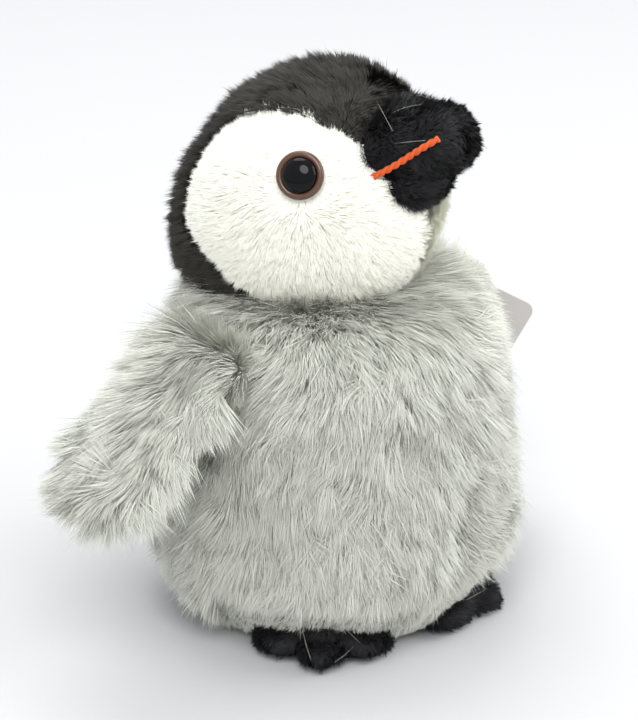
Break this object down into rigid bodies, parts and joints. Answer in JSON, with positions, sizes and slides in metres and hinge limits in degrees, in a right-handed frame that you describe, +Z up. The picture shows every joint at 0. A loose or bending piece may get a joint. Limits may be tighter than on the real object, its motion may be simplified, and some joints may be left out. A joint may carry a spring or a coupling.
{
  "type": "plush penguin chick",
  "caption": "Standing soft toy penguin chick with long grey pile body, dark hood, white face, black beak and feet, plastic eyes, flippers that lift and a hang tag.",
  "frame": {"origin": "middle of the body's round outline, on the surface the penguin stands on", "axes": "-Y is the way the body faces, +X is the penguin's own left, +Z is up; the head is turned towards +X"},
  "size_m": [0.158, 0.089, 0.1458],
  "materials": {
    "grey_pile": "long pile fabric, pale grey",
    "dark_pile": "short pile fabric, very dark brown",
    "white_pile": "short pile fabric, off-white",
    "black_pile": "short pile fabric, black",
    "orange_thread": "twisted embroidery thread, orange",
    "filling": "white polyester fibre filling",
    "pouch_cloth": "plain woven cloth round pellets",
    "brown_iris": "brown, satin",
    "black_pupil": "black, glossy",
    "clear_washer": "natural white plastic",
    "tag_board": "plain grey-white card",
    "nylon": "natural white nylon"
  },
  "bodies": {
    "torso": {"front_left": "grey_pile", "front_right": "grey_pile", "back_left": "grey_pile", "back_right": "grey_pile", "base": "grey_pile", "body_stuffing": "filling", "pellet_pouch": "pouch_cloth", "foot_left_upper": "black_pile", "foot_left_sole": "black_pile", "foot_left_stuffing": "filling", "foot_right_upper": "black_pile", "foot_right_sole": "black_pile", "foot_right_stuffing": "filling"},
    "head": {"hood_left": "dark_pile", "hood_right": "dark_pile", "face_left": "white_pile", "face_right": "white_pile", "head_stuffing": "filling", "beak_left": "black_pile", "beak_right": "black_pile", "beak_stuffing": "filling", "mouth_stitch_left": "orange_thread", "mouth_stitch_right": "orange_thread", "iris_left": "brown_iris", "iris_right": "brown_iris", "pupil_left": "black_pupil", "pupil_right": "black_pupil", "eye_washer_left": "clear_washer", "eye_washer_right": "clear_washer"},
    "flipper_left": {"flipper_left_outer": "grey_pile", "flipper_left_inner": "grey_pile", "tag_fastener": "nylon"},
    "flipper_right": {"flipper_right_outer": "grey_pile", "flipper_right_inner": "grey_pile"},
    "tag": {"tag_card": "tag_board"}
  },
  "joints": [
    {"name": "head_turn", "type": "hinge", "parent": "torso", "child": "head", "pos_m": [0, 0.0095, 0.09], "axis": [0, 0, 1], "range_deg": [-25, 25], "stiffness_Nm_per_rad": 0.05},
    {"name": "flipper_left_lift", "type": "hinge", "parent": "torso", "child": "flipper_left", "pos_m": [0.03853, 0.01402, 0.084], "axis": [0.342, -0.9397, 0], "range_deg": [0, 95], "stiffness_Nm_per_rad": 0.02},
    {"name": "flipper_right_lift", "type": "hinge", "parent": "torso", "child": "flipper_right", "pos_m": [-0.041, 0, 0.084], "axis": [0, 1, 0], "range_deg": [-30, 65], "stiffness_Nm_per_rad": 0.02},
    {"name": "tag_swing", "type": "hinge", "parent": "flipper_left", "child": "tag", "pos_m": [0.0527, 0.02725, 0.07235], "axis": [0.5, 0.866, 0], "range_deg": [-10, 10]}
  ]
}
